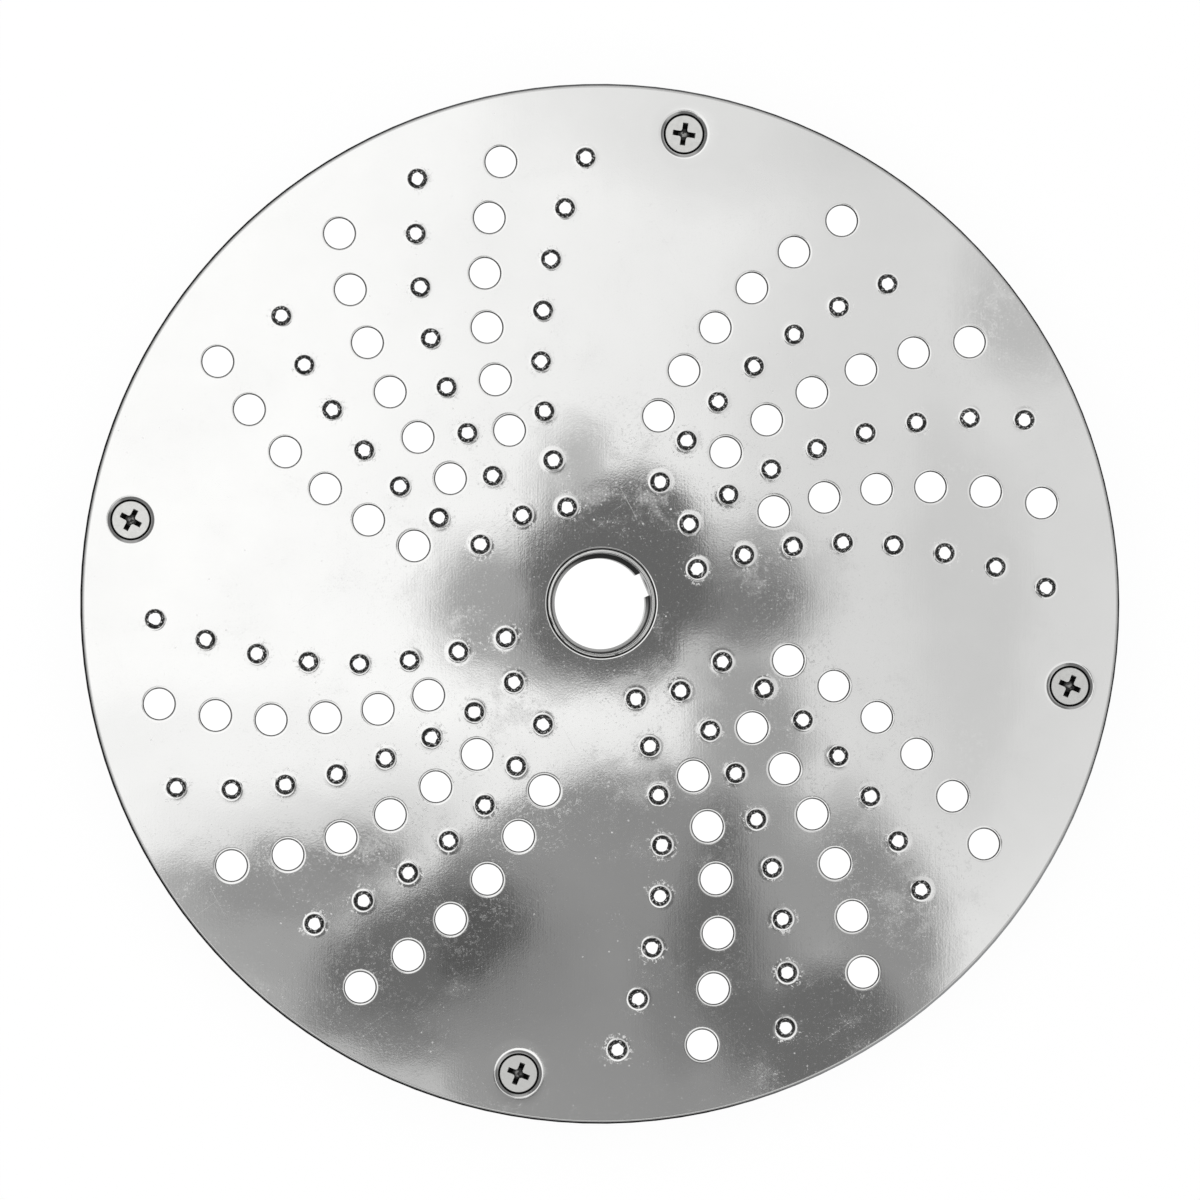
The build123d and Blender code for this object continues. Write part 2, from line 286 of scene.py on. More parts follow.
def passage_profile(sizes, top):
    """Section of one passage hole: a rolled punch edge above and a small burr edge below."""
    sheet = sizes.thickness / MM
    hole = sizes.passage_radius / MM
    # The last amount paints the hole's upper edge and wall dark as shade: a thin dark line round each hole.
    roll = [(hole + 0.7, 0, 0), (hole + 0.5, 0, 0), (hole + 0.4, -0.012, 0), (hole + 0.28, -0.045, 0), (hole + 0.2, -0.09, 0)]
    wall = [(hole + 0.16, -0.13, 0.9), (hole + 0.05, -0.22, 1), (hole, -0.34, 1), (hole, -0.85 * sheet, 1)]
    below = [(hole + 0.04, -sheet, 0.6), (hole + 0.2, -sheet, 0), (hole + 0.4, -sheet, 0)]
    return in_metres([(r, z, 0, 0.2, dull_and_shaded) for r, z, dull_and_shaded in roll + wall + below], top)


def seat_profile(sizes, top):
    """Section of one pressed screw seat: a shallow dish, a close step and a 45 degree cone, the sheet folded with it."""
    sheet = sizes.thickness / MM
    seat = sizes.seat_radius / MM
    hole = sizes.seat_hole_radius / MM
    # The last amount paints a faint shade on the dish, and paints the step and cone near-black as the shadow of the gap
    # round the screw head.
    brim = [(seat + 2.7, 0, 0), (seat + 2.4, 0, 0), (seat + 1.5, -0.01, 0), (seat + 0.7, -0.03, 0), (seat + 0.3, -0.045, 0)]
    dish = [(seat + 0.18, -0.07, 0.1), (seat + 0.06, -0.13, 0.15), (seat - 0.16, -0.27, 0.15), (seat - 0.36, -0.4, 0.25)]
    step = [(seat - 0.44, -0.47, 1), (seat - 0.56, -0.58, 1), (seat - 0.67, -0.67, 1)]
    cone = [(hole, hole - seat, 1), (hole, hole - seat - 0.3, 1)]
    outer = seat + sheet * (math.sqrt(2) - 1)
    below = [(hole, hole - outer - sheet, 0.3), (outer, -sheet, 0), (outer + 0.3, -sheet, 0), (outer + 0.6, -sheet, 0)]
    return in_metres([(r, z, 0, 0, dull_and_shaded) for r, z, dull_and_shaded in brim + dish + step + cone + below], top)


def centre_profile(sizes, top):
    """Section of the hole round the bush's collar."""
    sheet = sizes.thickness / MM
    hole = sizes.centre_radius / MM
    # The last amount paints the hole's upper edge and wall dark as shade.
    flat = [(hole + 0.9, 0, 0), (hole + 0.42, 0, 0), (hole + 0.36, 0, 0)]
    roll = [(hole + 0.3, -0.008, 0), (hole + 0.18, -0.026, 0), (hole + 0.07, -0.05, 0), (hole + 0.03, -0.09, 1), (hole, -0.18, 1)]
    wall = [(hole, -0.9 * sheet, 1), (hole + 0.1, -sheet, 0.5), (hole + 0.4, -sheet, 0), (hole + 0.7, -sheet, 0)]
    return in_metres([(r, z, 0, 0, dull_and_shaded) for r, z, dull_and_shaded in flat + roll + wall], top)


def rim_profile(sizes, top):
    """Section of the plate's outside edge, from the underside up."""
    sheet = sizes.thickness / MM
    rim = PLATE_RADIUS / MM
    # The last amount paints the plate's edge dark as shade, and a thin dark line just inside it.
    below = [(rim - 0.7, -sheet, 0), (rim - 0.4, -sheet, 0), (rim - 0.08, -sheet, 0.6), (rim, -0.9 * sheet, 1)]
    roll = [(rim, -0.3, 1), (rim - 0.04, -0.12, 0.7), (rim - 0.14, -0.03, 0.35), (rim - 0.24, 0, 0.2)]
    above = [(rim - 0.32, 0, 0.5), (rim - 0.42, 0, 0.1), (rim - 0.55, 0, 0), (rim - 0.9, 0, 0)]
    return in_metres([(r, z, 0, 0, dull_and_shaded) for r, z, dull_and_shaded in below + roll + above], top)


SOCKET_TYPES = {float: "NodeSocketFloat", int: "NodeSocketInt", bpy.types.Object: "NodeSocketObject"}


def new_shape_tree(name, values):
    """A geometry tree with one named input for each value, and those inputs."""
    tree = bpy.data.node_groups.new(name, "GeometryNodeTree")
    tree.interface.new_socket("Geometry", in_out="OUTPUT", socket_type="NodeSocketGeometry")
    for label, value in values.items():
        kind = SOCKET_TYPES.get(type(value), "NodeSocketMaterial")
        tree.interface.new_socket(label, in_out="INPUT", socket_type=kind)
    graph = Graph(tree)
    first = graph.node("NodeGroupInput")
    return graph, {label: first.output(label) for label in values}


def shape_from_tree(name, graph, values):
    """A plain mesh object made by a geometry tree with the given inputs."""
    shape = bpy.data.objects.new(name, bpy.data.meshes.new(name))
    bpy.context.scene.collection.objects.link(shape)
    modifier = shape.modifiers.new(name, "NODES")
    modifier.node_group = graph.tree
    for socket in graph.tree.interface.items_tree:
        if socket.in_out == "INPUT":
            modifier[socket.identifier] = values[socket.name]
    depsgraph = bpy.context.evaluated_depsgraph_get()
    made = bpy.data.meshes.new_from_object(shape.evaluated_get(depsgraph), depsgraph=depsgraph)
    shape.modifiers.clear()
    shape.data = made
    return shape


def row_points(graph, given, order, per_row, radius_at, last_radius):
    """Points along the curved rows of every quarter; order is 0 for rows of teeth and 1 for rows of passages."""
    index = graph.node("GeometryNodeInputIndex")
    row = (index / per_row).math("FLOOR") % given["Rows"]
    quarter = (index / (per_row * given["Rows"])).math("FLOOR")
    radius = radius_at(row, index % per_row)
    offset, arc = given["Row arc offset"], given["Row arc radius"]
    across = (radius * radius + offset * offset - arc * arc) / (2 * radius * offset)
    turn = given["First row"] + given["Row step"] * (2 * row + order) + quarter * (2 * math.pi / QUARTERS)
    turn = turn + across.math("ARCCOSINE")
    place = graph.node("ShaderNodeCombineXYZ", {}, [radius * turn.math("COSINE"), radius * turn.math("SINE")])
    total = QUARTERS * per_row * given["Rows"]
    points = graph.node("GeometryNodePoints", {}, {"Count": total, "Position": place})
    past_end = {"Geometry": points, "Selection": radius > last_radius}
    return graph.node("GeometryNodeDeleteGeometry", {"domain": "POINT"}, past_end)


def screw_points(graph, given):
    """One point for each screw."""
    turn = given["First screw"] + graph.node("GeometryNodeInputIndex") * (2 * math.pi / QUARTERS)
    radius = given["Screw circle"]
    place = graph.node("ShaderNodeCombineXYZ", {}, [radius * turn.math("COSINE"), radius * turn.math("SINE")])
    return graph.node("GeometryNodePoints", {}, {"Count": QUARTERS, "Position": place})


def copies(graph, points, template):
    """The template's mesh at each point."""
    mesh = graph.node("GeometryNodeObjectInfo", {}, {"Object": template}, "Geometry")
    return graph.node("GeometryNodeInstanceOnPoints", {}, {"Points": points, "Instance": mesh})


def torn_lips(graph, rings, given):
    """Pulls the lips of the teeth down in uneven tears, and in or out a little."""
    place = graph.node("GeometryNodeInputPosition")
    crown = graph.node("GeometryNodeInputNamedAttribute", {"data_type": "FLOAT"}, {"Name": "crown"})
    moved = graph.vector("ADD", place, graph.node("ShaderNodeCombineXYZ", {}, {"Z": given["Seed"]}))
    wide = graph.step(graph.noise(moved, 800.0, 0.0), 0.38, 0.66)
    fine = graph.noise(moved, 2600.0, 0.0)
    drop = crown * given["Tear depth"] * (0.25 * fine + 0.75 * wide)
    sideways = graph.vector("SUBTRACT", graph.noise(moved, 1500.0, 0.0).output("Color"), (0.5, 0.5, 0.5))
    sway = graph.node("ShaderNodeVectorMath", {"operation": "SCALE"}, {0: sideways, "Scale": crown * 0.7 * MM})
    level = graph.vector("MULTIPLY", sway, (1.0, 1.0, 0.0))
    shift = graph.vector("SUBTRACT", level, graph.node("ShaderNodeCombineXYZ", {}, {"Z": drop}))
    return graph.node("GeometryNodeSetPosition", {}, {"Geometry": rings, "Offset": shift})


def flat_between(graph, rings, given, height, above):
    """The flat sheet between the open edges of the rings, at the plate's top or underside."""
    x, y, z = separate(graph)
    open_edge = graph.node("GeometryNodeInputMeshEdgeNeighbors") < 1.5
    middle = given["Plate top"] - 0.5 * given["Sheet thickness"]
    chosen = open_edge * ((z > middle) if above else (z < middle))
    loops = graph.node("GeometryNodeMeshToCurve", {}, {"Mesh": rings, "Selection": chosen})
    sheet = graph.node("GeometryNodeFillCurve", {}, {"Curve": loops})
    place = graph.node("ShaderNodeCombineXYZ", {}, [x, y, height])
    return graph.node("GeometryNodeSetPosition", {}, {"Geometry": sheet, "Position": place})


def separate(graph):
    """The three coordinates of a point."""
    place = graph.node("GeometryNodeInputPosition")
    x = graph.node("ShaderNodeSeparateXYZ", {}, [place])
    return x, x.output("Y"), x.output("Z")


def plate_tree(values):
    """The plate's geometry tree: a ring of formed metal at each hole and edge, and flat sheet between them."""
    graph, given = new_shape_tree("toothed_plate", values)

    def tooth_radius(row, place):
        return given["First tooth"] + given["Tooth stagger"] * row + given["Tooth pitch"] * place

    def passage_radius(_, place):
        return given["First passage"] + given["Passage pitch"] * place

    teeth = row_points(graph, given, 0, given["Teeth in a row"], tooth_radius, given["Last tooth"])
    passages = row_points(graph, given, 1, given["Passages in a row"], passage_radius, given["Plate radius"])
    rings = [
        copies(graph, teeth, given["Tooth"]),
        copies(graph, passages, given["Passage"]),
        copies(graph, screw_points(graph, given), given["Screw seat"]),
        graph.node("GeometryNodeObjectInfo", {}, {"Object": given["Centre"]}, "Geometry"),
        graph.node("GeometryNodeObjectInfo", {}, {"Object": given["Rim"]}, "Geometry"),
    ]
    joined = graph.node("GeometryNodeJoinGeometry", {}, [rings])
    real = graph.node("GeometryNodeRealizeInstances", {}, {"Geometry": joined})
    formed = torn_lips(graph, real, given)
    underside = given["Plate top"] - given["Sheet thickness"]
    sheets = [
        flat_between(graph, real, given, given["Plate top"], True),
        flat_between(graph, real, given, underside, False),
    ]
    whole = graph.node("GeometryNodeJoinGeometry", {}, [[formed, *sheets]])
    welded = graph.node("GeometryNodeMergeByDistance", {}, {"Geometry": whole, "Distance": 2e-6})
    smooth = graph.node("GeometryNodeSetShadeSmooth", {}, {"Geometry": welded})
    plain = graph.node("GeometryNodeRealizeInstances", {}, {"Geometry": smooth})
    finished = graph.node("GeometryNodeSetMaterial", {}, {"Geometry": plain, "Material": given["Finish"]})
    graph.node("NodeGroupOutput", {}, {"Geometry": finished})
    return graph


def face_outwards(shape):
    """Turns every face of a closed mesh outwards."""
    mesh = bmesh.new()
    mesh.from_mesh(shape.data)
    bmesh.ops.recalc_face_normals(mesh, faces=mesh.faces)
    open_edges = sum(1 for edge in mesh.edges if len(edge.link_faces) != 2)
    mesh.to_mesh(shape.data)
    mesh.free()
    if open_edges:
        raise RuntimeError(f"{shape.name} has {open_edges} open edges")


def fine_scratches(graph, place, turn, start):
    """Sparse fine scratches in one direction, from 0 to 1."""
    settings = {"vector_type": "TEXTURE"}
    sockets = {"Vector": place, "Location": (start, 0.0, 0.0), "Rotation": (0.0, 0.0, math.radians(turn)),
               "Scale": (1 / 55, 1 / 3200, 1.0)}
    along = graph.node("ShaderNodeMapping", settings, sockets)
    return graph.step(graph.noise(along, 1.0, 1.0), 0.73, 0.78)


def plate_finish(finishes):
    """Polished sheet: a slightly wavy face with fine grain, and scuffs round the teeth; the torn teeth and the edges of
    the holes and the rim are dulled and painted near-black as shade, with painted glints on the teeth.
    """
    material, graph = new_material("plate_steel")
    place = graph.node("ShaderNodeTexCoord", {}, {}, "Object")
    scuff = graph.node("ShaderNodeAttribute", {"attribute_name": "scuff"}, {}, "Fac")
    dull_and_shaded = graph.node("ShaderNodeAttribute", {"attribute_name": "dull_and_shaded"}, {}, "Fac")
    waves = graph.noise(place, 17.0, 1.0) * 3e-4 + graph.noise(place, 120.0, 1.0) * 1.5e-5
    peel = graph.noise(place, 500.0, 5.0, 0.75)
    grain = graph.noise(graph.vector("MULTIPLY", place, (2600.0, 110.0, 400.0)), 1.0, 3.0, 0.6)
    ragged = graph.step(graph.noise(place, 110.0, 2.0), 0.36, 0.6)
    burrs = graph.step(graph.noise(place, 1500.0, 4.0, 0.7), 0.56, 0.66) * scuff * ragged * (1 - dull_and_shaded)
    dots = graph.node("ShaderNodeTexVoronoi", {}, {"Vector": place, "Scale": 420.0}, "Distance")
    dust = (1 - graph.step(dots, 0.04, 0.12)) * graph.step(graph.noise(place, 70.0, 3.0), 0.5, 0.62)
    smudge = graph.step(graph.noise(place, 75.0, 7.0, 0.72), 0.52, 0.66)
    grit = graph.noise(place, 2400.0, 2.0, 0.7)
    speck = graph.step(grit, 0.6, 0.74)
    scratches = fine_scratches(graph, place, 35, 0.0).math("MAXIMUM", fine_scratches(graph, place, -62, 3.0))
    height = waves + peel * 2e-6 + grain * 1.6e-6 + grit * 2.2e-6 + burrs * 2e-5
    cloud = graph.step(graph.noise(place, 38.0, 4.0, 0.6), 0.3, 0.75)
    steel = finishes.plate_steel
    polished = graph.mix(cloud, opaque(steel), opaque(darker(steel, 0.96)))
    z = graph.node("ShaderNodeSeparateXYZ", {}, [place], "Z")
    under = 1 - graph.step(z, PLATE_UNDERSIDE + 0.1 * MM, PLATE_UNDERSIDE + 0.3 * MM)
    mill = graph.mix(smudge, opaque(darker(steel, 0.5)), opaque(darker(steel, 0.38)))
    # Painted glints: small bright flecks on the teeth's dark torn metal.
    painted_glint = graph.step(graph.noise(place, 2300.0, 1.0), 0.58, 0.66) * scuff
    torn = dull_and_shaded * (1 - 0.8 * painted_glint)
    # Painted shade: where the last amount of the rings is high, the colour goes to the near-black torn steel.
    colour_map = graph.mix(torn, graph.mix(under, polished, mill), opaque(finishes.torn_steel_shade))
    fine = 0.02 + under * 0.2 + cloud * 0.012 + grain * 0.02 + grit * 0.03
    roughness = fine + smudge * grit * 0.14 + speck * 0.12 + scratches * 0.08 + dust * 0.3 + burrs * 0.4 + dull_and_shaded * 0.3
    metal(graph, colour_map, roughness, graph.bump(height))
    return material


def bush_finish(finishes):
    """Turned steel: fine rings round the spin axis, light stains, and painted shade in the bore, on the bush's outside
    below the collar's top and in thin dark lines at the top edges.
    """
    material, graph = new_material("bush_steel")
    steel, marks = finishes.bush_steel, 4500.0
    place = graph.node("ShaderNodeTexCoord", {}, {}, "Object")
    x = graph.node("ShaderNodeSeparateXYZ", {}, [place])
    y, z = x.output("Y"), x.output("Z")
    radius = (x * x + y * y).math("SQRT")
    rings = graph.node("ShaderNodeCombineXYZ", {}, [radius * marks, z * marks, 0.0])
    tool_marks = graph.noise(rings, 1.0, 3.0, 0.6)
    stain = graph.step(graph.noise(place, 160.0, 4.0, 0.6), 0.35, 0.75)
    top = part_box("drive_bush")[1].z
    past_edge = (radius - 10.2 * MM).math("MAXIMUM", 0.0) * (z > top - 0.3 * MM)
    worn_edge = past_edge * -0.14
    normal = graph.bump(tool_marks * 3e-6 + graph.noise(place, 900.0, 2.0) * 1.5e-6 + worn_edge)
    deep = 1 - graph.step(z, top - 0.9 * MM, top - 0.1 * MM)
    bright = graph.mix(stain, opaque(steel), opaque(darker(steel, 0.82)))
    # Painted shade in the bore: dark walls and a lighter ledge, but the ledge stays dark on the side towards the upper
    # right and in its outer corner, as the wall's shadow.
    ledge = 1 - graph.step(z, 7.05 * MM, 7.4 * MM)
    side = (0.5 * x + 0.87 * y) / radius
    corner_shadow = graph.step(radius, 9.4 * MM, 9.7 * MM)
    inside = (radius < 10.0 * MM) * graph.step(z, 0.3 * MM, 4.0 * MM)
    # Painted shade on the bush's outside below the collar's top, inside the plate's hole.
    crevice = graph.step(z, 1.0 * MM, 2.0 * MM) * deep * (radius > 10.3 * MM)
    # Painted shade: thin dark lines on the top at the bore's edge and at the collar's outer edge.
    edge_shade_lines = (1 - graph.step(radius, 9.94 * MM, 10.04 * MM)).math("MAXIMUM", graph.step(radius, 10.48 * MM, 10.54 * MM))
    edge_shade_lines = edge_shade_lines * (1 - deep) * (z > 5.0 * MM)
    painted_shade = inside * deep * (0.97 - 0.8 * ledge * (1 - corner_shadow) * (1 - graph.step(side, 0.1, 0.75)))
    painted_shade = painted_shade.math("MAXIMUM", crevice).math("MAXIMUM", edge_shade_lines * 0.95)
    colour_map = graph.mix(painted_shade, bright, opaque(darker(steel, 0.05)))
    metal(graph, colour_map, 0.07 + 0.06 * tool_marks + 0.06 * stain + 0.18 * deep, normal)
    return material


def screw_axis_distance(graph, place, sizes):
    """Distance from the nearest screw's axis."""
    x = graph.node("ShaderNodeSeparateXYZ", {}, [place])
    y = x.output("Y")
    radius_squared = x * x + y * y
    quarter = 2 * math.pi / QUARTERS
    turn = (y.math("ARCTAN2", x) - sizes.screw_angle + quarter / 2) % quarter - quarter / 2
    across = radius_squared.math("SQRT") * turn.math("COSINE") * (2 * sizes.screw_radius)
    return (radius_squared + sizes.screw_radius**2 - across).math("ABSOLUTE").math("SQRT")


def screw_finish(finishes, sizes):
    """Plain steel screws: a faint grain, painted shade down in the cross recess with painted glints at its middle, and
    a painted dark line round the head.
    """
    material, graph = new_material("screw_steel")
    place = graph.node("ShaderNodeTexCoord", {}, {}, "Object")
    z = graph.node("ShaderNodeSeparateXYZ", {}, [place], "Z")
    head_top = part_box("plate_screws")[1].z
    deep = 1 - graph.step(z, head_top - 0.4 * MM, head_top - 0.05 * MM)
    wear = graph.noise(place, 1400.0, 3.0, 0.6)
    normal = graph.bump(wear * 6e-6 + graph.noise(place, 5000.0, 2.0) * 8e-7)
    steel = finishes.screw_steel
    face = graph.mix(wear * 0.3, opaque(steel), opaque(darker(steel, 0.35)))
    out = screw_axis_distance(graph, place, sizes)
    # Painted glints: lighter spots at the middle of the recess.
    middle = (1 - graph.step(out, 0.3 * MM, 0.9 * MM)) * graph.step(wear, 0.4, 0.6)
    # Painted shadow: a dark line at the head's edge, where the gap to the seat is.
    edge = graph.step(out, 3.56 * MM, 3.66 * MM)
    # Painted shade: near-black down in the recess.
    recess_and_gap_shade = (deep * (0.97 - 0.6 * middle)).math("MAXIMUM", edge)
    colour_map = graph.mix(recess_and_gap_shade, face, opaque(darker(steel, 0.03)))
    metal(graph, colour_map, 0.3 + 0.15 * wear + 0.1 * deep, normal)
    return material


def cast_finish(finishes):
    """Cast aluminium: a grainy skin with soft patches, turned smooth round the rim, whose top chamfer is painted dark
    as shade, with painted highlights towards the lower right and the top.
    """
    material, graph = new_material("cast_aluminium")
    place = graph.node("ShaderNodeTexCoord", {}, {}, "Object")
    x = graph.node("ShaderNodeSeparateXYZ", {}, [place])
    y, z = x.output("Y"), x.output("Z")
    radius = (x * x + y * y).math("SQRT")
    rim_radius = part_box("disc_carrier")[1].x
    machined = 1 - graph.step(z, 0.1 * MM, 0.25 * MM)
    turned = graph.step(radius, rim_radius - 1.2 * MM, rim_radius - 0.6 * MM).math("MAXIMUM", machined)
    skin = graph.noise(place, 1100.0, 4.0, 0.65)
    rings = graph.noise(graph.node("ShaderNodeCombineXYZ", {}, [radius * 3000.0, z * 3500.0, 0.0]), 1.0, 3.0)
    patches = graph.step(graph.noise(place, 55.0, 4.0, 0.6), 0.3, 0.75)
    # Painted shade: the top chamfer of the rim is coloured dark.
    chamfer = (radius > rim_radius - 0.41 * MM) * (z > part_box("disc_carrier")[1].z - 0.42 * MM)
    lean = (radius > rim_radius - 1.2 * MM) * graph.step(z, 2.0 * MM, 4.0 * MM) * (radius - rim_radius) * 0.51
    normal = graph.bump((1 - turned) * skin * 9e-5 + turned * rings * 1.2e-5 + lean)
    aluminium = finishes.cast_aluminium
    cast = graph.mix((patches * 0.7 + skin * 0.3) * (1 - 0.8 * turned), opaque(aluminium), opaque(darker(aluminium, 0.78)))
    # Painted reflection: the dark chamfer is lighter towards the lower right, and a little at the top.
    painted_rim_highlight = graph.step((x - y) / radius, 1.16, 1.38).math("MAXIMUM", 0.3 * graph.step(y / radius, 0.88, 0.99))
    chamfer_shade_and_light = graph.mix(painted_rim_highlight, opaque(darker(aluminium, 0.1)), opaque(darker(aluminium, 0.9)))
    colour_map = graph.mix(chamfer, cast, chamfer_shade_and_light)
    metal(graph, colour_map, 0.46 - 0.22 * turned + 0.12 * patches * (1 - turned), normal)
    return material


class GratingOperator:
    """What every step of the disc shares."""

    bl_options = {"REGISTER", "UNDO"}


class GRATING_OT_plate(GratingOperator, bpy.types.Operator):
    """Builds the toothed plate in place of its plain solid"""

    bl_idname = "grating.plate"
    bl_label = "Toothed plate"

    def execute(self, context):
        sizes = context.scene.grating_plate
        top = PLATE_UNDERSIDE + sizes.thickness
        templates = {
            "Tooth": turned_ring("tooth", tooth_profile(sizes, top), 24),
            "Passage": turned_ring("passage", passage_profile(sizes, top), 40),
            "Screw seat": turned_ring("screw_seat", seat_profile(sizes, top), 48),
            "Centre": turned_ring("centre", centre_profile(sizes, top), 96),
            "Rim": turned_ring("rim", rim_profile(sizes, top), 360),
        }
        named = {sizes.bl_rna.properties[key].name: getattr(sizes, key) for key in PlateSizes.__annotations__}
        finish = plate_finish(context.scene.grating_finishes)
        values = {**named, **templates, "Plate top": top, "Plate radius": PLATE_RADIUS, "Finish": finish}
        plate = shape_from_tree("toothed_plate", plate_tree(values), values)
        for template in templates.values():
            bpy.data.objects.remove(template)
        face_outwards(plate)
        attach(plate, "root")
        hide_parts("grating_plate")
        return {"FINISHED"}


def dress(node, material):
    """Gives a piece of the frame its finish."""
    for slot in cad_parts[node].material_slots:
        slot.material = material


class GRATING_OT_carrier(GratingOperator, bpy.types.Operator):
    """Gives the carrier its cast finish"""

    bl_idname = "grating.carrier"
    bl_label = "Carrier"

    def execute(self, context):
        dress("disc_carrier", cast_finish(context.scene.grating_finishes))
        return {"FINISHED"}


class GRATING_OT_bush(GratingOperator, bpy.types.Operator):
    """Gives the drive bush its turned finish"""

    bl_idname = "grating.bush"
    bl_label = "Drive bush"

    def execute(self, context):
        dress("drive_bush", bush_finish(context.scene.grating_finishes))
        return {"FINISHED"}


class GRATING_OT_screws(GratingOperator, bpy.types.Operator):
    """Gives the four screws their finish"""

    bl_idname = "grating.screws"
    bl_label = "Screws"

    def execute(self, context):
        dress("plate_screws", screw_finish(context.scene.grating_finishes, context.scene.grating_plate))
        return {"FINISHED"}


# Grey on the light card, as the plate mirrors it: centre and radii on the plate, turn in degrees, depth, width of the
# soft edge. Lengths are in millimetres. Veils darken each other; of blotches that overlap, the darkest counts.
CARD_VEILS = (
    ((170, 40), (190, 202), 0, 0.18, 60),
    ((74, 22), (46, 84), 0, 0.16, 15),
    ((72, 0), (11.5, 39), 0, 0.12, 4),
    ((30, 106), (48, 25), 0, 0.12, 8),
    ((-55, -30), (66, 12), -4, 0.08, 4),
    ((-50, -62), (42, 22), -20, 0.28, 8),
    ((-42, -41), (17, 10), 20, 0.2, 4),
)
CARD_BLOTCHES = (
    ((84, 59), (13, 7), -58, 0.28, 4),
    ((3, 3.2), (20, 19.8), 0, 0.85, 2),
    ((27, 2), (14, 11), -8, 0.75, 5),
    ((-19, 2), (15, 11), -15, 0.62, 4),
    ((-6, 25), (6, 8), 20, 0.45, 2),
    ((-8, -9), (10, 8), 0, 0.60, 1.5),
    ((27, -24), (11, 16), 10, 0.57, 4),
    ((2, -76), (38, 43), 0, 0.70, 2),
    ((24, -66), (9, 34), 0, 0.84, 3),
    ((14, -80), (10, 22), 0, 0.76, 4),
    ((42, -85), (18, 15), 0, 0.84, 4),
    ((36, -54), (10, 24), 12, 0.62, 4),
    ((55, -66), (12, 28), 18, 0.66, 4),
    ((-62, -80), (42, 20), -35, 0.50, 3),
    ((-58, -54), (24, 9), 20, 0.60, 1.5),
    ((-35, -68), (25, 11), 20, 0.80, 2),
    ((-25, -66), (10, 8), 20, 0.87, 2),
    ((-44, -84), (20, 9), -20, 0.76, 4),
)


def plain_plane(name, side, height):
    """A square sheet of the stage, facing up."""
    half = side / 2
    mesh = bpy.data.meshes.new(name)
    corners = [(-half, -half, height), (half, -half, height), (half, half, height), (-half, half, height)]
    mesh.from_pydata(corners, [], [(0, 1, 2, 3)])
    sheet = bpy.data.objects.new(name, mesh)
    bpy.context.scene.collection.objects.link(sheet)
    return sheet


def card_light(settings, camera_place):
    """White card with soft grey shades, which the plate mirrors."""
    material, graph = new_material("light_card")
    reach = settings.card_height / settings.camera_distance
    shift_x, shift_y = -reach * camera_place.x, -reach * camera_place.y
    plate_mm = (1 + reach) * MM
    place = graph.node("ShaderNodeTexCoord", {}, {}, "Object")
    stray = graph.vector("SUBTRACT", graph.noise(place, 24.0, 6.0, 0.62).output("Color"), (0.5, 0.5, 0.5))
    place = graph.vector("MULTIPLY_ADD", stray, (0.036, 0.036, 0.0), place)

    def shade(centre, radii, turn, depth, edge):
        sockets = {
            "Vector": place,
            "Location": (centre[0] * plate_mm + shift_x, centre[1] * plate_mm + shift_y, 0.0),
            "Rotation": (0.0, 0.0, math.radians(turn)),
            "Scale": (radii[0] * plate_mm, radii[1] * plate_mm, 1e6),
        }
        local = graph.node("ShaderNodeMapping", {"vector_type": "TEXTURE"}, sockets)
        soft = edge / min(radii)
        return 1 - depth * (1 - graph.step(graph.vector("LENGTH", local, output="Value"), 1 - soft, 1 + soft))

    bright = shade(*CARD_VEILS[0])
    for veil in CARD_VEILS[1:]:
        bright = bright * shade(*veil)
    darkest = shade(*CARD_BLOTCHES[0])
    for blotch in CARD_BLOTCHES[1:]:
        darkest = darkest.math("MINIMUM", shade(*blotch))
    grey = graph.mix(bright * darkest, opaque((0, 0, 0)), opaque((1, 1, 1)))
    shader = graph.node("ShaderNodeEmission", {}, {"Color": grey, "Strength": settings.card_light})
    graph.node("ShaderNodeOutputMaterial", {}, {"Surface": shader})
    return material


def floor_finish(rim_radius):
    """White floor: plain white to the eye under the disc, with a faint soft shadow round it, and clear from below."""
    material, graph = new_material("white_floor")
    place = graph.node("ShaderNodeTexCoord", {}, {}, "Object")
    flat = graph.vector("MULTIPLY", place, (1.0, 1.0, 0.0))
    outside = graph.step(graph.vector("LENGTH", flat, output="Value"), rim_radius - 1.0 * MM, rim_radius)
    path = graph.node("ShaderNodeLightPath", {}, {}, "Is Camera Ray")
    seen = path.math("MAXIMUM", path.output("Is Glossy Ray")).math("MAXIMUM", path.output("Is Transmission Ray"))
    matt = graph.node("ShaderNodeBsdfDiffuse", {}, {"Color": opaque((0.9, 0.9, 0.9))})
    white = graph.node("ShaderNodeEmission", {}, {"Strength": 1.06})
    front = graph.node("ShaderNodeMixShader", {}, [seen * (1 - 0.12 * outside), matt, white])
    below = graph.node("ShaderNodeNewGeometry", {}, {}, "Backfacing")
    clear = graph.node("ShaderNodeBsdfTransparent")
    shader = graph.node("ShaderNodeMixShader", {}, [below, front, clear])
    graph.node("ShaderNodeOutputMaterial", {}, {"Surface": shader})
    return material


def flag_ring(settings):
    """An open ring of grey cloth round the disc, which tilted metal mirrors."""
    sides = 96
    radius = settings.flag_distance
    turns = [2 * math.pi * side / sides for side in range(sides)]
    vertices = [(radius * math.cos(a), radius * math.sin(a), z) for z in FLAG_HEIGHTS[::3] for a in turns]
    faces = [(a, (a + 1) % sides, (a + 1) % sides + sides, a + sides) for a in range(sides)]
    mesh = bpy.data.meshes.new("grey_flags")
    mesh.from_pydata(vertices, [], faces)
    flags = bpy.data.objects.new("grey_flags", mesh)
    bpy.context.scene.collection.objects.link(flags)
    return flags


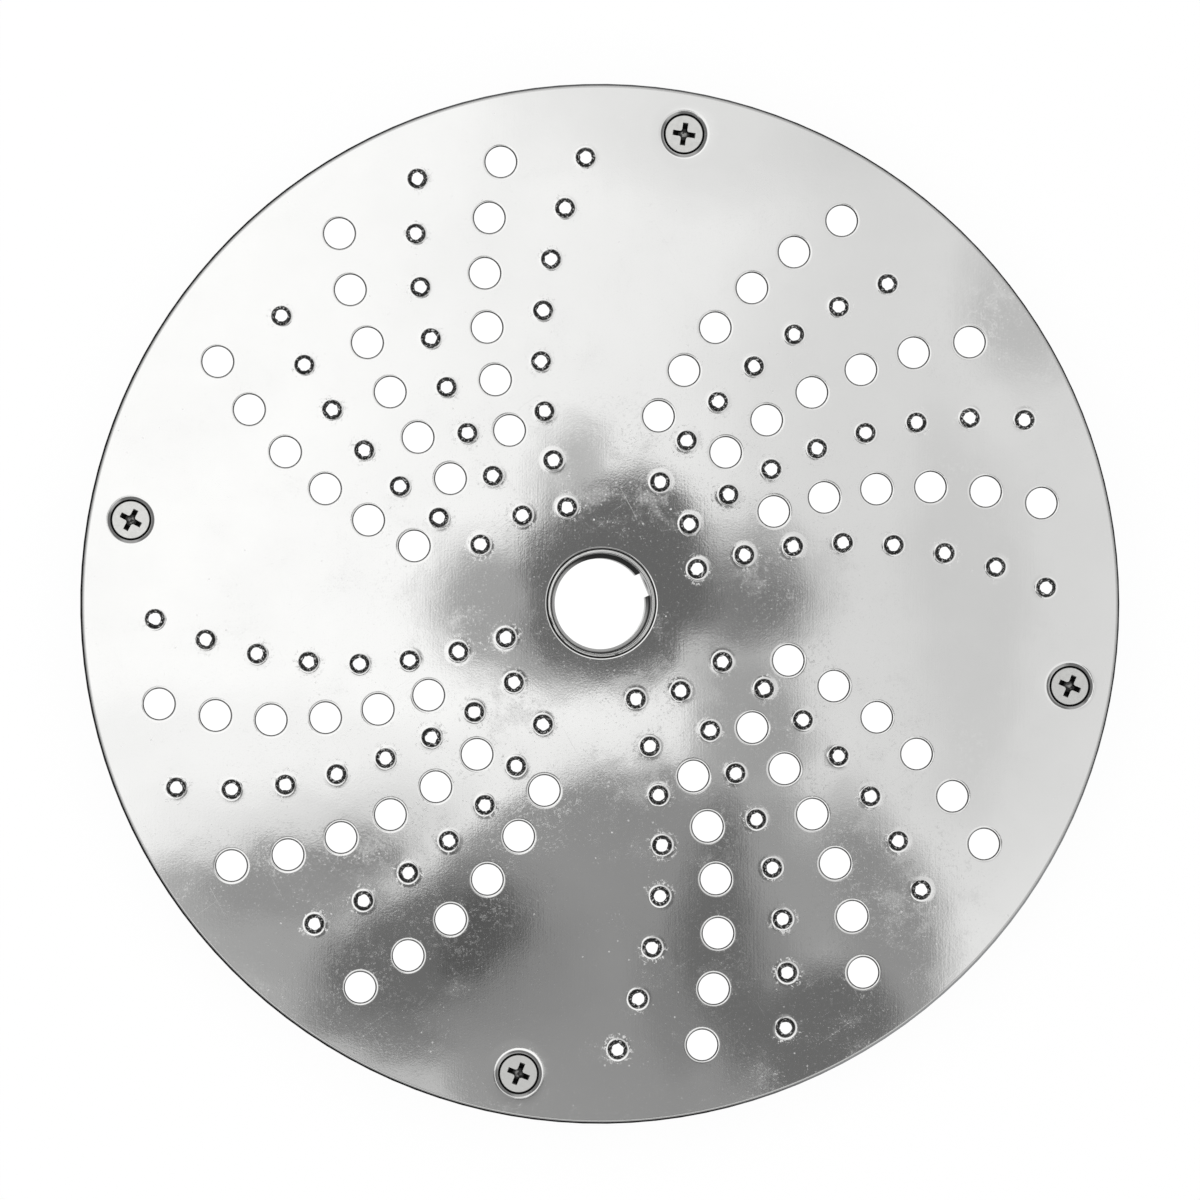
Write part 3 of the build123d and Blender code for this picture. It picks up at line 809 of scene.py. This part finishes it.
# Heights on the flags in metres: where they begin, are full grey from, are full grey to, and end
FLAG_HEIGHTS = (0.08, 0.3, 0.6, 1.3)
# Gaps in the flags: direction and half width in degrees, and how bright the gap looks
FLAG_GAPS = ((-45, 24, 0.5), (95, 26, 0.45))


def flag_finish(settings):
    """Grey cloth whose upper and lower edges fade away."""
    material, graph = new_material("grey_flags")
    place = graph.node("ShaderNodeTexCoord", {}, {}, "Object")
    z = graph.node("ShaderNodeSeparateXYZ", {}, [place], "Z")
    begin, full_from, full_to, end = FLAG_HEIGHTS
    cloth = graph.step(z, begin, full_from) * (1 - graph.step(z, full_to, end))
    x = graph.node("ShaderNodeSeparateXYZ", {}, [place])
    turn = x.output("Y").math("ARCTAN2", x)
    shade = opaque((settings.flag_light,) * 3)
    for direction, half_width, brightness in FLAG_GAPS:
        away = ((turn - math.radians(direction) + math.pi) % (2 * math.pi) - math.pi).math("ABSOLUTE")
        gap = 1 - graph.step(away, 0.5 * math.radians(half_width), 1.3 * math.radians(half_width))
        shade = graph.mix(gap, shade, opaque((brightness,) * 3))
    clear = graph.node("ShaderNodeBsdfTransparent")
    grey = graph.node("ShaderNodeEmission", {}, {"Color": shade, "Strength": 1.0})
    graph.node("ShaderNodeOutputMaterial", {}, {"Surface": graph.node("ShaderNodeMixShader", {}, [cloth, clear, grey])})
    return material


def studio_world(settings):
    """White light from all round."""
    world = bpy.data.worlds.new("studio")
    world.use_nodes = True
    world.node_tree.nodes.clear()
    graph = Graph(world.node_tree)
    shader = graph.node("ShaderNodeBackground", {}, {"Color": opaque((1, 1, 1)), "Strength": settings.world_light})
    graph.node("ShaderNodeOutputWorld", {}, {"Surface": shader})
    return world


def photo_camera(settings, aim):
    """The camera of the photograph: almost straight above, a little to the left and below."""
    data = bpy.data.cameras.new("camera")
    data.sensor_width = 36.0
    data.lens = data.sensor_width * settings.camera_distance / settings.view_width
    camera = bpy.data.objects.new("camera", data)
    lean = Vector((-math.tan(settings.camera_lean_x), -math.tan(settings.camera_lean_y), 1.0))
    back = lean.normalized()
    right = Vector((0.0, 1.0, 0.0)).cross(back).normalized()
    camera.location = aim + back * settings.camera_distance
    camera.rotation_euler = Matrix((right, back.cross(right), back)).transposed().to_euler()
    return camera


# Where the photograph's middle falls on the plate, from the middle of the disc, in its pixels
AIM_PIXELS = (-1.5, 3.2)


class GRATING_OT_stage(GratingOperator, bpy.types.Operator):
    """Sets the white floor, the light and the camera"""

    bl_idname = "grating.stage"
    bl_label = "Stage"

    def execute(self, context):
        settings = context.scene.grating_stage
        top = PLATE_UNDERSIDE + context.scene.grating_plate.thickness
        floor = plain_plane("floor", 4.0, -0.2 * MM)
        floor.data.materials.append(floor_finish(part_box("disc_carrier")[1].x))
        card = plain_plane("light_card", settings.card_size, top + settings.card_height)
        pixel = settings.view_width / PHOTO_PIXELS
        aim = Vector((AIM_PIXELS[0] * pixel, AIM_PIXELS[1] * pixel, top))
        camera = photo_camera(settings, aim)
        card.data.materials.append(card_light(settings, camera.location))
        flags = flag_ring(settings)
        flags.data.materials.append(flag_finish(settings))
        card.visible_camera = flags.visible_camera = False
        context.scene.collection.objects.link(camera)
        context.scene.camera = camera
        context.scene.world = studio_world(settings)
        context.scene.view_settings.view_transform = "Standard"
        return {"FINISHED"}


class GRATING_PT_panel(bpy.types.Panel):
    """Lists the steps of the grating disc"""

    bl_idname = "GRATING_PT_panel"
    bl_label = "Grating disc"
    bl_space_type = "VIEW_3D"
    bl_region_type = "UI"
    bl_category = "Grating disc"

    def draw(self, context):
        for step in STEPS:
            self.layout.operator(step.bl_idname)
        for group in GROUPS:
            settings = getattr(context.scene, group)
            for key in GROUPS[group].__annotations__:
                self.layout.prop(settings, key)


STEPS = (GRATING_OT_plate, GRATING_OT_carrier, GRATING_OT_bush, GRATING_OT_screws, GRATING_OT_stage)
GROUPS = {"grating_plate": PlateSizes, "grating_finishes": Finishes, "grating_stage": StageSettings}


def register():
    for group, kind in GROUPS.items():
        bpy.utils.register_class(kind)
        setattr(bpy.types.Scene, group, PointerProperty(type=kind))
    for kind in (*STEPS, GRATING_PT_panel):
        bpy.utils.register_class(kind)


def unregister():
    for kind in (GRATING_PT_panel, *reversed(STEPS)):
        bpy.utils.unregister_class(kind)
    for group, kind in GROUPS.items():
        delattr(bpy.types.Scene, group)
        bpy.utils.unregister_class(kind)


def main():
    register()
    bpy.ops.grating.plate()
    bpy.ops.grating.carrier()
    bpy.ops.grating.bush()
    bpy.ops.grating.screws()
    bpy.ops.grating.stage()


if __name__ == "__main__":
    main()
